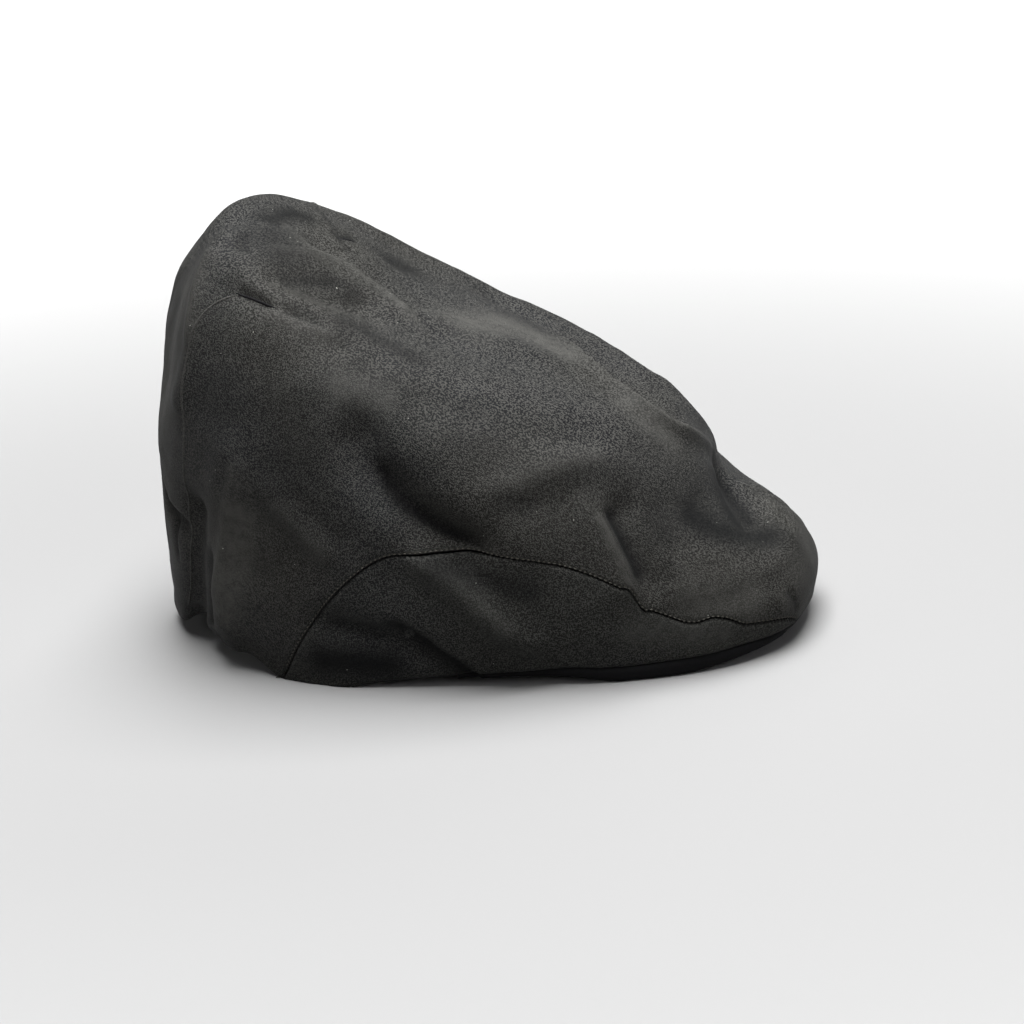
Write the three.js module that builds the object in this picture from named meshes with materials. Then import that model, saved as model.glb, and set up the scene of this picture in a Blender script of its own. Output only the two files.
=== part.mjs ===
// Waxed flat cap: a one-piece cloth crown with a dart at each back corner, a shaped
// side band on each side and a stiff curved peak whose covered edge shows under the cloth.
// Millimetres, +X to the front, +Y to the wearer's left, +Z up, resting on z = 0.
import * as THREE from 'three';

// Crown and bands, measured from the middle of the head opening
const backReach = 106;
const frontReach = 142;
const halfWidth = 87;
const crownHeight = 161;
const clothWall = 1.7;
const seamGap = 0.4;

// Folds of the cloth
const foldDepth = 5;
const foldWidth = 10;

// Peak
const peakReach = 50;
const peakThickness = 2.6;
const peakRise = 13;
const peakBulge = 2.5;
const peakCornerWidth = 9;
const peakLap = 2.8;
const lipHeight = 6.4;
const lipRounding = 0.8;
const peakHalfTurn = 81;

// Side bands
const bandEndHeight = 1.6;
const bandEndStep = 0.13;

// Mesh steps
const turnSteps = 120;
const riseSteps = 17;
const bandSteps = 4;
const peakSteps = 48;
const foldSteps = 8;

const tinyStep = 0.002;

// A table: a row of values becomes an object with the named columns
function table(columns, rows) {
  return rows.map((row) => Object.fromEntries(columns.map((name, k) => [name, row[k]])));
}

// Sections of the outer skin from the lower edge (rise 0) to the middle of the top (rise 1).
// back is a share of backReach; front and middle of frontReach; half of halfWidth; the
// heights and the lean of crownHeight. The rest are the outline's fullness and the powers
// with which its height changes towards the back and the front.
const sections = table(
  ['rise', 'back', 'front', 'middle', 'half', 'backHigh', 'sideHigh', 'frontHigh', 'lean',
    'backFull', 'frontFull', 'fall', 'climb'],
  [
    [0.00, 1.000, 1.000, -0.106, 0.908, 0.040, -0.008, 0.047, 0.031, 1.65, 2.6, 2.4, 1.0],
    [0.05, 0.991, 1.014, -0.070, 0.943, 0.118, 0.059, 0.112, 0.012, 1.8, 2.5, 2.0, 1.0],
    [0.14, 0.972, 0.986, 0.000, 0.989, 0.273, 0.168, 0.186, -0.043, 2.1, 2.3, 2.0, 2.0],
    [0.26, 0.953, 0.915, 0.049, 1.000, 0.447, 0.311, 0.230, -0.109, 2.4, 2.3, 2.0, 2.0],
    [0.40, 0.925, 0.838, 0.042, 0.989, 0.621, 0.460, 0.267, -0.177, 2.5, 2.3, 2.0, 2.0],
    [0.54, 0.877, 0.775, 0.028, 0.943, 0.789, 0.590, 0.317, -0.236, 2.5, 2.3, 2.0, 2.0],
    [0.68, 0.774, 0.718, 0.014, 0.851, 0.932, 0.683, 0.422, -0.255, 2.5, 2.2, 2.0, 2.0],
    [0.80, 0.632, 0.585, -0.021, 0.701, 1.000, 0.758, 0.540, -0.230, 2.4, 2.1, 2.0, 2.0],
    [0.91, 0.415, 0.296, -0.056, 0.402, 0.963, 0.783, 0.658, -0.152, 2.2, 2.0, 2.0, 2.0],
    [1.00, 0.170, -0.042, -0.085, 0.057, 0.863, 0.832, 0.801, -0.031, 2.0, 2.0, 2.0, 2.0],
  ],
);

// Front seam of each side: its rise at each turn from the front, in degrees
const seamLine = table(
  ['turn', 'rise'],
  [
    [8, -0.03], [14, 0.005], [18, 0.018], [25.5, 0.030], [30.5, 0.036], [34, 0.043],
    [38.5, 0.070], [41, 0.080], [44, 0.076], [46, 0.082], [49.5, 0.120], [52.5, 0.150],
    [54.5, 0.200], [59.5, 0.257], [64, 0.287], [69, 0.301], [75.5, 0.305], [83.5, 0.297],
    [90, 0.278], [96.5, 0.220], [103, 0.145], [111.5, 0.028], [116, -0.03],
  ],
);

// Height of the peak's dark edge, as a share of lipHeight, by its share of frontReach
const lipLine = table(
  ['front', 'height'],
  [[0, 0.1], [0.38, 0.12], [0.55, 0.85], [0.64, 1], [0.72, 0.98], [0.81, 0.82],
    [0.87, 0.65], [0.95, 0.45], [1, 0.2]],
);

// Folds and dents: a path of three points (turn in degrees, negative on the right, and
// rise), then the width and push as shares of foldWidth and foldDepth, outwards positive
const folds = table(
  ['name', 'turnA', 'riseA', 'turnB', 'riseB', 'turnC', 'riseC', 'width', 'push'],
  [
    ['rim notch', -145, 0.00, -142, 0.08, -136, 0.24, 0.7, -1.0],
    ['rim bulge', -127, 0.00, -126, 0.18, -121, 0.38, 0.9, 0.6],
    ['back tuck', -160, 0.24, -152, 0.205, -144, 0.185, 0.5, -0.35],
    ['right corner ridge', -152, 0.79, -137, 0.60, -139, 0.44, 0.7, 0.5],
    ['back hollow', -168, 0.78, -161, 0.62, -157, 0.46, 1.4, -0.7],
    ['main valley', -94.5, 0.60, -89, 0.45, -79, 0.35, 0.9, -1.0],
    ['main ridge', -103, 0.57, -98, 0.42, -92, 0.32, 1.0, 0.4],
    ['side bulge', -84, 0.54, -78, 0.45, -71, 0.36, 1.0, 0.5],
    ['arc ridge', -72, 0.48, -60, 0.63, -43, 0.70, 0.7, 0.5],
    ['arc valley', -70, 0.45, -60, 0.54, -50, 0.60, 0.6, -0.6],
    ['front crease', -52, 0.50, -54.5, 0.35, -57, 0.21, 0.65, 0.6],
    ['crease valley', -46, 0.46, -48, 0.33, -48, 0.22, 0.7, -0.6],
    ['front dent', 2, 0.60, -6, 0.50, -14, 0.38, 0.9, -0.8],
    ['peak ridge', 9, 0.28, 3, 0.25, -4, 0.21, 0.6, 0.3],
    ['lower fold', -103, 0.125, -95, 0.115, -86, 0.08, 0.7, -0.6],
    ['lower ridge', -88, 0.27, -80, 0.18, -72, 0.08, 0.6, 0.5],
    ['soft ridge', -111, 0.335, -103, 0.28, -97, 0.23, 0.6, 0.3],
    ['right dart', -129, 0.715, -112, 0.742, -97, 0.745, 0.5, -0.3],
    ['left dart', 129, 0.715, 112, 0.742, 97, 0.745, 0.5, -0.3],
    ['top dent', -123, 0.81, -111, 0.86, -99, 0.90, 0.7, -0.5],
    ['back top ridge', -150, 0.90, -125, 0.905, -100, 0.94, 0.6, 0.4],
    ['front top ridge', -84, 0.94, -45, 0.94, -12, 0.90, 0.7, 0.5],
    ['top crease', 30, 0.873, 2, 0.855, -13, 0.80, 0.5, 0.4],
    ['top crease front', -12, 0.77, -3, 0.71, 11, 0.62, 0.5, 0.4],
    ['top valley', 72, 0.84, 38, 0.845, 4, 0.82, 1.2, -0.8],
    ['far bump', 26, 0.74, 20, 0.69, 20, 0.62, 0.8, 0.4],
    ['far bump foot', 2, 0.66, 10, 0.60, 20, 0.53, 0.8, -0.5],
    ['left valley', 95, 0.56, 87, 0.43, 77, 0.34, 1.1, -0.6],
    ['left bulge', 122, 0.10, 118, 0.22, 114, 0.36, 1.2, 0.4],
    ['left notch', 143, 0.00, 140, 0.10, 133, 0.24, 1.0, -0.6],
    ['left crease', 52, 0.44, 54, 0.33, 55, 0.22, 0.6, 0.4],
  ],
);

// Where the lower edge is lifted: a path and width as above, then the lift straight up as
// a share of foldDepth
const lifts = table(
  ['name', 'turnA', 'riseA', 'turnB', 'riseB', 'turnC', 'riseC', 'width', 'push'],
  [
    ['right corner lift', -145, 0, -136, 0, -124, 0, 1.15, 1.7],
    ['right side lift', -88, 0, -80, 0, -68, 0, 1.5, 0.5],
    ['left corner lift', 145, 0, 136, 0, 124, 0, 1.0, 0.7],
  ],
);

// Smooth curve through a table's column, read at x along its key column
function curve(rows, keyName, name, x) {
  const last = rows.length - 2;
  let k = 0;
  while (k < last && x > rows[k + 1][keyName]) k += 1;
  const slope = (n) => {
    if (n < 0 || n > last) return null;
    return (rows[n + 1][name] - rows[n][name]) / (rows[n + 1][keyName] - rows[n][keyName]);
  };
  const tangent = (n) => {
    const before = slope(n - 1);
    const after = slope(n);
    if (before === null) return after;
    if (after === null) return before;
    if (before * after <= 0) return 0;
    const left = rows[n][keyName] - rows[n - 1][keyName];
    const right = rows[n + 1][keyName] - rows[n][keyName];
    return (before * right + after * left) / (left + right);
  };
  const step = rows[k + 1][keyName] - rows[k][keyName];
  const t = (x - rows[k][keyName]) / step;
  return (1 + 2 * t) * (1 - t) ** 2 * rows[k][name] + t * (1 - t) ** 2 * step * tangent(k)
    + t * t * (3 - 2 * t) * rows[k + 1][name] - t * t * (1 - t) * step * tangent(k + 1);
}

const toRadians = THREE.MathUtils.degToRad;

// Outer skin without its folds, at a turn from the front in degrees and a rise from 0 to 1
function plainSkin(turn, rise) {
  const at = (name) => curve(sections, 'rise', name, rise);
  const along = Math.cos(toRadians(turn));
  const across = Math.sin(toRadians(turn));
  const behind = along < 0;
  const full = behind ? at('backFull') : at('frontFull');
  const middle = at('middle') * frontReach;
  const reach = behind ? middle + at('back') * backReach : at('front') * frontReach - middle;
  const share = Math.abs(along) ** (2 / full);
  const end = behind ? at('backHigh') : at('frontHigh');
  const power = behind ? at('fall') : at('climb');
  const lean = at('lean') * Math.sign(along) * share * (1 - share);
  const high = lean + (end - at('sideHigh')) * share ** power;
  return new THREE.Vector3(
    middle + Math.sign(along) * reach * share,
    at('half') * halfWidth * Math.sign(across) * Math.abs(across) ** (2 / full),
    (at('sideHigh') + high) * crownHeight,
  );
}

// Normal of a skin from its own neighbouring points
function normalOf(skin, turn, rise) {
  const turnStep = tinyStep * 180;
  const low = Math.max(rise - tinyStep, 0);
  const high = Math.min(rise + tinyStep, 1);
  const around = skin(turn + turnStep, rise).sub(skin(turn - turnStep, rise));
  const upward = skin(turn, high).sub(skin(turn, low));
  return around.cross(upward).normalize();
}

// Each row's path as points on the plain skin, with its width and push
const pathsOf = (rows) => rows.map((fold) => {
  const path = [];
  for (let k = 0; k <= foldSteps; k += 1) {
    const t = k / foldSteps;
    const bend = (a, b, c) => (1 - t) * (1 - 2 * t) * a + 4 * t * (1 - t) * b + t * (2 * t - 1) * c;
    path.push(plainSkin(
      bend(fold.turnA, fold.turnB, fold.turnC),
      bend(fold.riseA, fold.riseB, fold.riseC),
    ));
  }
  return { path, width: fold.width * foldWidth, push: fold.push * foldDepth };
});
const foldPaths = pathsOf(folds);
const liftPaths = pathsOf(lifts);

const nearest = new THREE.Vector3();
const segment = new THREE.Line3();

// How far the rows of paths push the skin at a point
function pushAt(paths, point) {
  let push = 0;
  for (const fold of paths) {
    let gap = Infinity;
    for (let k = 0; k < foldSteps; k += 1) {
      segment.set(fold.path[k], fold.path[k + 1]);
      segment.closestPointToPoint(point, true, nearest);
      gap = Math.min(gap, nearest.distanceTo(point));
    }
    push += fold.push * Math.exp(-((gap / fold.width) ** 2));
  }
  return push;
}

// Outer skin bent by its folds and lifts
function bentSkin(turn, rise) {
  const point = plainSkin(turn, rise);
  const lift = pushAt(liftPaths, point);
  point.addScaledVector(normalOf(plainSkin, turn, rise), pushAt(foldPaths, point));
  point.z += lift;
  return point;
}

// Outer skin, never below the surface that the cap rests on
function outerSkin(turn, rise) {
  const point = bentSkin(turn, rise);
  point.z = Math.max(point.z, 0);
  return point;
}

// Direction into the cloth, level along the lower edge
function inwardOf(turn, rise) {
  const inward = normalOf(bentSkin, turn, rise).negate();
  if (rise <= 0) inward.setZ(0).normalize();
  return inward;
}

// Inner skin, one cloth wall inside the outer one
function innerSkin(turn, rise) {
  return outerSkin(turn, rise).addScaledVector(inwardOf(turn, rise), clothWall);
}

// Rise of the seam at a turn, shifted across its slope by a distance in millimetres
function seamRise(turn, shift) {
  const seam = (angle) => {
    const inTable = THREE.MathUtils.clamp(Math.abs(angle), seamLine[0].turn, seamLine.at(-1).turn);
    return curve(seamLine, 'turn', 'rise', inTable);
  };
  const rise = seam(turn);
  const foot = Math.max(rise, 0);
  const perRise = plainSkin(turn, foot + tinyStep).distanceTo(plainSkin(turn, foot)) / tinyStep;
  const ahead = plainSkin(turn + 1, foot);
  const perTurn = ahead.distanceTo(plainSkin(turn - 1, foot)) / 2;
  const slope = ((seam(turn + 1) - seam(turn - 1)) / 2) * (perRise / perTurn);
  return rise + (shift * Math.hypot(1, slope)) / perRise;
}

// Height of the side band at a turn, in millimetres
function bandHeight(turn) {
  const top = Math.max(seamRise(turn, -seamGap / 2), 0);
  return plainSkin(turn, top).distanceTo(plainSkin(turn, 0));
}

// Turns where a side band ends, in degrees from the front: its blunt ends
function bandEnds() {
  const inside = [];
  for (let turn = 0; turn < 180; turn += bandEndStep) {
    if (bandHeight(turn) >= bandEndHeight) inside.push(turn);
  }
  return [inside[0], inside.at(-1)];
}

// Turns of the cloth's columns, the same for the crown and the bands, from back to back
const [bandFront, bandBack] = bandEnds();
const turns = [-bandBack, -bandFront, bandFront, bandBack];
for (let i = 0; i < turnSteps; i += 1) turns.push((i / turnSteps) * 360 - 180);
turns.sort((a, b) => a - b);

// Adds two triangles for a quad whose corners run counter-clockwise seen from outside
function addQuad(index, a, b, c, d) {
  index.push(a, b, c, a, c, d);
}

function meshOf(name, points, index, material) {
  const geometry = new THREE.BufferGeometry().setFromPoints(points);
  geometry.setIndex(index);
  geometry.computeVertexNormals();
  const mesh = new THREE.Mesh(geometry, material);
  mesh.name = name;
  return mesh;
}

// Crown: a cloth shell from the lower edge, or the front seam, to the middle of the top
function makeCrown(material) {
  const points = [];
  const index = [];
  const rows = riseSteps + 1;
  for (const skin of [outerSkin, innerSkin]) {
    for (const turn of turns) {
      const foot = Math.max(seamRise(turn, seamGap / 2), 0);
      for (let j = 0; j < rows; j += 1) {
        points.push(skin(turn, foot + (1 - foot) * (j / riseSteps)));
      }
    }
  }
  const outer = (i, j) => (i % turns.length) * rows + j;
  const inner = (i, j) => turns.length * rows + outer(i, j);
  for (let i = 0; i < turns.length; i += 1) {
    for (let j = 0; j < riseSteps; j += 1) {
      addQuad(index, outer(i, j), outer(i + 1, j), outer(i + 1, j + 1), outer(i, j + 1));
      addQuad(index, inner(i, j), inner(i, j + 1), inner(i + 1, j + 1), inner(i + 1, j));
    }
    addQuad(index, outer(i, 0), inner(i, 0), inner(i + 1, 0), outer(i + 1, 0));
  }
  for (const ring of [outer, inner]) {
    const middle = new THREE.Vector3();
    for (let i = 0; i < turns.length; i += 1) {
      middle.addScaledVector(points[ring(i, riseSteps)], 1 / turns.length);
    }
    points.push(middle);
    for (let i = 0; i < turns.length; i += 1) {
      const ends = [ring(i, riseSteps), ring(i + 1, riseSteps)];
      if (ring === inner) ends.reverse();
      index.push(...ends, points.length - 1);
    }
  }
  return meshOf('crown', points, index, material);
}

// Side band: the cloth between the lower edge and the front seam of one side
function makeSideBand(name, side, material) {
  const own = turns.filter((turn) => {
    const away = turn * side;
    return away >= bandFront && away <= bandBack;
  });
  const points = [];
  const index = [];
  const rows = bandSteps + 1;
  for (const skin of [outerSkin, innerSkin]) {
    for (const turn of own) {
      const top = seamRise(turn, -seamGap / 2);
      for (let j = 0; j < rows; j += 1) points.push(skin(turn, top * (j / bandSteps)));
    }
  }
  const outer = (i, j) => i * rows + j;
  const inner = (i, j) => own.length * rows + outer(i, j);
  const last = own.length - 1;
  for (let i = 0; i < last; i += 1) {
    for (let j = 0; j < bandSteps; j += 1) {
      addQuad(index, outer(i, j), outer(i + 1, j), outer(i + 1, j + 1), outer(i, j + 1));
      addQuad(index, inner(i, j), inner(i, j + 1), inner(i + 1, j + 1), inner(i + 1, j));
    }
    addQuad(index, outer(i, 0), inner(i, 0), inner(i + 1, 0), outer(i + 1, 0));
    addQuad(index, outer(i, bandSteps), outer(i + 1, bandSteps),
      inner(i + 1, bandSteps), inner(i, bandSteps));
  }
  for (let j = 0; j < bandSteps; j += 1) {
    addQuad(index, outer(0, j), outer(0, j + 1), inner(0, j + 1), inner(0, j));
    addQuad(index, outer(last, j), inner(last, j), inner(last, j + 1), outer(last, j + 1));
  }
  return meshOf(name, points, index, material);
}

// Peak: a thin arched crescent inside the cloth's front edge, with its edge turned up
function makePeak(material) {
  const inset = clothWall + seamGap;
  const corner = plainSkin(peakHalfTurn, 0);
  const innerMiddle = frontReach - peakReach;
  const points = [];
  const index = [];
  let sectionSize = 0;
  for (let i = 0; i <= peakSteps; i += 1) {
    const share = (2 * i) / peakSteps - 1;
    const turn = share * peakHalfTurn;
    const edge = outerSkin(turn, 0);
    const lip = curve(lipLine, 'front', 'height', edge.x / frontReach) * lipHeight;
    const swing = share * Math.PI / 2;
    const back = new THREE.Vector3(
      corner.x + (innerMiddle - corner.x) * Math.cos(swing),
      (corner.y - peakCornerWidth) * Math.sin(swing),
      edge.z,
    );
    const inward = inwardOf(turn, 0);
    const front = edge.clone().addScaledVector(inward, inset);
    const heel = front.clone().addScaledVector(inward, peakThickness);
    const low = Math.max(edge.z - lip, 0);
    const slope = (t) => low + peakRise * Math.cos(swing) * t
      + peakBulge * Math.cos(swing) * Math.sin(Math.PI * t);
    const under = (t) => front.clone().lerp(back, t).setZ(slope(t));
    const over = (t) => heel.clone().lerp(back, t).setZ(slope(t) + peakThickness);
    const section = [
      front.clone().addScaledVector(inward, lipRounding).setZ(low),
      front.clone().setZ(low + lipRounding),
      front.clone().setZ(edge.z + peakLap),
      heel.clone().setZ(edge.z + peakLap),
      over(0),
      over(1 / 3),
      over(2 / 3),
      over(1),
      under(1),
      under(2 / 3),
      under(1 / 3),
    ];
    sectionSize = section.length;
    points.push(...section);
  }
  const ring = (i, k) => i * sectionSize + (k % sectionSize);
  for (let i = 0; i < peakSteps; i += 1) {
    for (let k = 0; k < sectionSize; k += 1) {
      addQuad(index, ring(i, k), ring(i + 1, k), ring(i + 1, k + 1), ring(i, k + 1));
    }
  }
  addEnd(points, index, ring, 0, sectionSize, false);
  addEnd(points, index, ring, peakSteps, sectionSize, true);
  return meshOf('peak', points, index, material);
}

// Closes one end of the peak with triangles over its section
function addEnd(points, index, ring, i, size, front) {
  const along = points[ring(i, 1)].clone().sub(points[ring(i, 7)]).setZ(0).normalize();
  const flat = [];
  for (let k = 0; k < size; k += 1) {
    const point = points[ring(i, k)];
    flat.push(new THREE.Vector2(point.dot(along), point.z));
  }
  for (const [a, b, c] of THREE.ShapeUtils.triangulateShape(flat, [])) {
    const corners = [ring(i, a), ring(i, b), ring(i, c)];
    if (front) corners.reverse();
    index.push(...corners);
  }
}

const waxedCotton = new THREE.MeshStandardMaterial({
  color: 0x2f302b, roughness: 0.72, metalness: 0,
});
const bandCotton = new THREE.MeshStandardMaterial({
  color: 0x2b2c28, roughness: 0.74, metalness: 0,
});
const peakCloth = new THREE.MeshStandardMaterial({
  color: 0x121315, roughness: 0.8, metalness: 0,
});

const cap = new THREE.Group();
cap.add(
  makeCrown(waxedCotton),
  makeSideBand('side_band_right', -1, bandCotton),
  makeSideBand('side_band_left', 1, bandCotton.clone()),
  makePeak(peakCloth),
);

// The origin is the middle of the cap's footprint
const box = new THREE.Box3().setFromObject(cap);
const middle = box.getCenter(new THREE.Vector3());
cap.position.set(-middle.x, -middle.y, -box.min.z);

export default cap;
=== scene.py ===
"""Looks of the waxed flat cap: its cloth, its seams and the dark edge of its peak.

Metres, +X to the front, +Y to the wearer's left, +Z up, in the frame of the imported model.
"""
import math

import bpy
import numpy as np
from mathutils import Matrix, Vector


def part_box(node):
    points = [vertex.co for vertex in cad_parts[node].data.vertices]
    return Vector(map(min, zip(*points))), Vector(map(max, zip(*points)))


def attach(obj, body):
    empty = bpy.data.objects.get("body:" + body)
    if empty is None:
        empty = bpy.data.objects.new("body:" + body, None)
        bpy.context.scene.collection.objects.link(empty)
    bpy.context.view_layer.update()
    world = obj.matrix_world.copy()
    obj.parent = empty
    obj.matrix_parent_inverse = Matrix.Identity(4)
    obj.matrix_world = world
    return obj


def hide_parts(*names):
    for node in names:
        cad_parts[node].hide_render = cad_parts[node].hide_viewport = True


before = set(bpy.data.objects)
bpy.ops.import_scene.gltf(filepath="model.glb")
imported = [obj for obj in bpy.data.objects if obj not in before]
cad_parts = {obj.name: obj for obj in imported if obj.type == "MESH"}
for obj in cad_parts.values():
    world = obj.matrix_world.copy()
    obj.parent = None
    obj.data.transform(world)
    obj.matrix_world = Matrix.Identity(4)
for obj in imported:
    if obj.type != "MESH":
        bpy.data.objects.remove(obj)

scene = bpy.context.scene
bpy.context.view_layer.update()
crown_low, crown_high = (np.array(corner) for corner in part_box("crown"))

# Sizes, from the crown's box
length, width, height = crown_high - crown_low
back_reach = 0.424 * length
front_reach = 0.568 * length
half_width = 0.4943 * width
crown_height = 1.003 * height
opening_middle = np.array([crown_low[0] + back_reach, crown_low[1] + 0.5057 * width, 0.0])
cloth_wall = 0.0017
seam_gap = 0.0004
fold_depth = 0.005
fold_width = 0.010
peak_reach = 0.2 * length
peak_half_turn = 81
peak_thickness = 0.0026
peak_rise = 0.013
peak_bulge = 0.0025
peak_corner_width = 0.009
lip_height = 0.0064
lip_roll = 0.0016
edge_steps = np.array([0, 0.15, 0.35, 0.6, 0.95, 1.4, 2, 2.8]) * 1e-3
edge_roll, edge_roll_width, clear_of_edge = 0.0009, 0.0016, 0.01
stitch_pitch, stitch_length, stitch_thickness, stitch_sunk = 0.0019, 0.0010, 0.0005, 0.0001
stitch_from_seam = 0.0007
welt_width, welt_proud, welt_sunk, welt_pucker = 0.0012, 0.0004, 0.0006, 0.15
slit_proud, slit_sunk = 0.00045, 0.0005


def table(columns, rows):
    """Rows of values, as one array for each named column."""
    return {name: np.array(values, float) for name, values in zip(columns.split(), zip(*rows))}


# Sections of the outer skin from the lower edge (rise 0) to the middle of the top (rise 1).
# back is a share of back_reach; front and middle of front_reach; half of half_width; the
# heights and the lean of crown_height. The rest are the outline's fullness and the powers
# with which its height changes towards the back and the front.
sections = table(
    "rise back front middle half back_high side_high front_high lean"
    " back_full front_full fall climb",
    [
        (0, 1, 1, -0.106, 0.908, 0.04, -0.008, 0.047, 0.031, 1.65, 2.6, 2.4, 1),
        (0.05, 0.991, 1.014, -0.07, 0.943, 0.118, 0.059, 0.112, 0.012, 1.8, 2.5, 2, 1),
        (0.14, 0.972, 0.986, 0, 0.989, 0.273, 0.168, 0.186, -0.043, 2.1, 2.3, 2, 2),
        (0.26, 0.953, 0.915, 0.049, 1, 0.447, 0.311, 0.23, -0.109, 2.4, 2.3, 2, 2),
        (0.4, 0.925, 0.838, 0.042, 0.989, 0.621, 0.46, 0.267, -0.177, 2.5, 2.3, 2, 2),
        (0.54, 0.877, 0.775, 0.028, 0.943, 0.789, 0.59, 0.317, -0.236, 2.5, 2.3, 2, 2),
        (0.68, 0.774, 0.718, 0.014, 0.851, 0.932, 0.683, 0.422, -0.255, 2.5, 2.2, 2, 2),
        (0.8, 0.632, 0.585, -0.021, 0.701, 1, 0.758, 0.54, -0.23, 2.4, 2.1, 2, 2),
        (0.91, 0.415, 0.296, -0.056, 0.402, 0.963, 0.783, 0.658, -0.152, 2.2, 2, 2, 2),
        (1, 0.17, -0.042, -0.085, 0.057, 0.863, 0.832, 0.801, -0.031, 2, 2, 2, 2),
    ],
)

# Front seam of each side: its rise at each turn from the front, in degrees
seam_line = table("turn rise", [
    (8, -0.03), (14, 0.005), (18, 0.018), (25.5, 0.030), (30.5, 0.036), (34, 0.043),
    (38.5, 0.070), (41, 0.080), (44, 0.076), (46, 0.082), (49.5, 0.122), (51.5, 0.141),
    (53.4, 0.156), (54.4, 0.206), (56.5, 0.228), (59.5, 0.257), (64, 0.287), (69, 0.301),
    (75.5, 0.305), (83.5, 0.297), (90, 0.278), (96.5, 0.220), (103, 0.145), (111.5, 0.028),
    (116, -0.03),
])
seam_ends = seam_line["turn"][[0, -1]]

# Back darts, from the lower edge to the open end, then the slit there; the left one is pulled
# up over the top
dart_foot = [(149, 0.03), (143.5, 0.138), (140.5, 0.233), (138.5, 0.307), (137, 0.388),
             (136.5, 0.463), (135.5, 0.54)]
right_dart = table("turn rise", dart_foot + [
    (135, 0.595), (133.5, 0.647), (131, 0.685), (128, 0.715)])
left_dart = table("turn rise", dart_foot + [
    (135, 0.62), (135, 0.7), (135.5, 0.78), (138, 0.85)])
right_slit = table("turn rise", [(129, 0.713), (123.5, 0.728), (119, 0.738), (115, 0.743)])
left_slit = table("turn rise", [(170, 0.953), (161, 0.958), (151, 0.959), (142, 0.957)])

# Height of the peak's dark edge, as a share of lip_height, by its share of front_reach
lip_line = table("front height", [
    (0, 0.3), (0.38, 0.45), (0.55, 0.85), (0.64, 1), (0.72, 0.98), (0.81, 0.82),
    (0.87, 0.65), (0.95, 0.45), (1, 0.2),
])

# Broad folds and dents: a path of three points (turn in degrees, negative on the right, and
# rise), then the width and push as shares of fold_width and fold_depth, outwards positive
folds = [
    ("rim notch", (-145, 0), (-142, 0.08), (-136, 0.24), 0.7, -1),
    ("rim bulge", (-127, 0), (-126, 0.18), (-121, 0.38), 0.9, 0.6),
    ("back tuck", (-160, 0.24), (-152, 0.205), (-144, 0.185), 0.5, -0.35),
    ("right corner ridge", (-152, 0.79), (-137, 0.6), (-139, 0.44), 0.7, 0.5),
    ("back hollow", (-168, 0.78), (-161, 0.62), (-157, 0.46), 1.4, -0.7),
    ("main valley", (-94, 0.5), (-89.5, 0.4), (-80.5, 0.318), 0.75, -1),
    ("main ridge", (-103, 0.57), (-98, 0.42), (-92, 0.32), 1, 0.4),
    ("side bulge", (-84, 0.54), (-78, 0.45), (-71, 0.36), 1, 0.5),
    ("arc ridge", (-72, 0.48), (-60, 0.61), (-43, 0.68), 0.8, 0.4),
    ("arc valley", (-75, 0.43), (-67.5, 0.46), (-57, 0.52), 0.7, -0.2),
    ("front crease", (-55, 0.5), (-55, 0.38), (-55.5, 0.24), 0.65, 0.35),
    ("crease valley", (-46, 0.5), (-48, 0.36), (-49.5, 0.23), 0.7, -0.6),
    ("front dent", (8, 0.59), (3, 0.48), (-8, 0.32), 0.85, -0.6),
    ("peak ridge", (9, 0.28), (3, 0.25), (-4, 0.21), 0.6, 0.3),
    ("lower fold", (-103, 0.125), (-95, 0.115), (-86, 0.08), 0.7, -0.6),
    ("lower ridge", (-88, 0.27), (-80, 0.18), (-72, 0.08), 0.6, 0.5),
    ("soft ridge", (-111, 0.335), (-103, 0.28), (-97, 0.23), 0.6, 0.3),
    ("right dart", (-129, 0.715), (-112, 0.742), (-97, 0.745), 0.5, -0.3),
    ("left dart", (129, 0.715), (112, 0.742), (97, 0.745), 0.5, -0.3),
    ("top dent", (-123, 0.81), (-111, 0.86), (-99, 0.9), 0.7, -0.5),
    ("back top ridge", (-150, 0.9), (-125, 0.905), (-100, 0.94), 0.6, 0.4),
    ("front top ridge", (-84, 0.94), (-45, 0.94), (-12, 0.9), 0.7, 0.5),
    ("top crease", (30, 0.873), (2, 0.855), (-13, 0.8), 0.5, 0.4),
    ("top crease front", (-12, 0.77), (-3, 0.71), (11, 0.62), 0.5, 0.4),
    ("top valley", (72, 0.84), (38, 0.845), (4, 0.82), 1.2, -0.8),
    ("far bump", (26, 0.74), (20, 0.69), (20, 0.62), 0.8, 0.4),
    ("far bump foot", (2, 0.66), (10, 0.6), (20, 0.53), 0.8, -0.1),
    ("left valley", (95, 0.56), (87, 0.43), (77, 0.34), 1.1, -0.6),
    ("left bulge", (122, 0.1), (118, 0.22), (114, 0.36), 1.2, 0.4),
    ("left notch", (143, 0), (140, 0.1), (133, 0.24), 1, -0.6),
    ("left crease", (52, 0.44), (54, 0.33), (55, 0.22), 0.6, 0.4),
]

# Where the lower edge is lifted: a path and width as above, then the lift straight up as a
# share of fold_depth
lifts = [
    ("right corner lift", (-145, 0), (-136, 0), (-124, 0), 1.15, 1.7),
    ("right side lift", (-88, 0), (-80, 0), (-68, 0), 1.5, 0.5),
    ("left corner lift", (145, 0), (136, 0), (124, 0), 1, 0.7),
]

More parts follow.
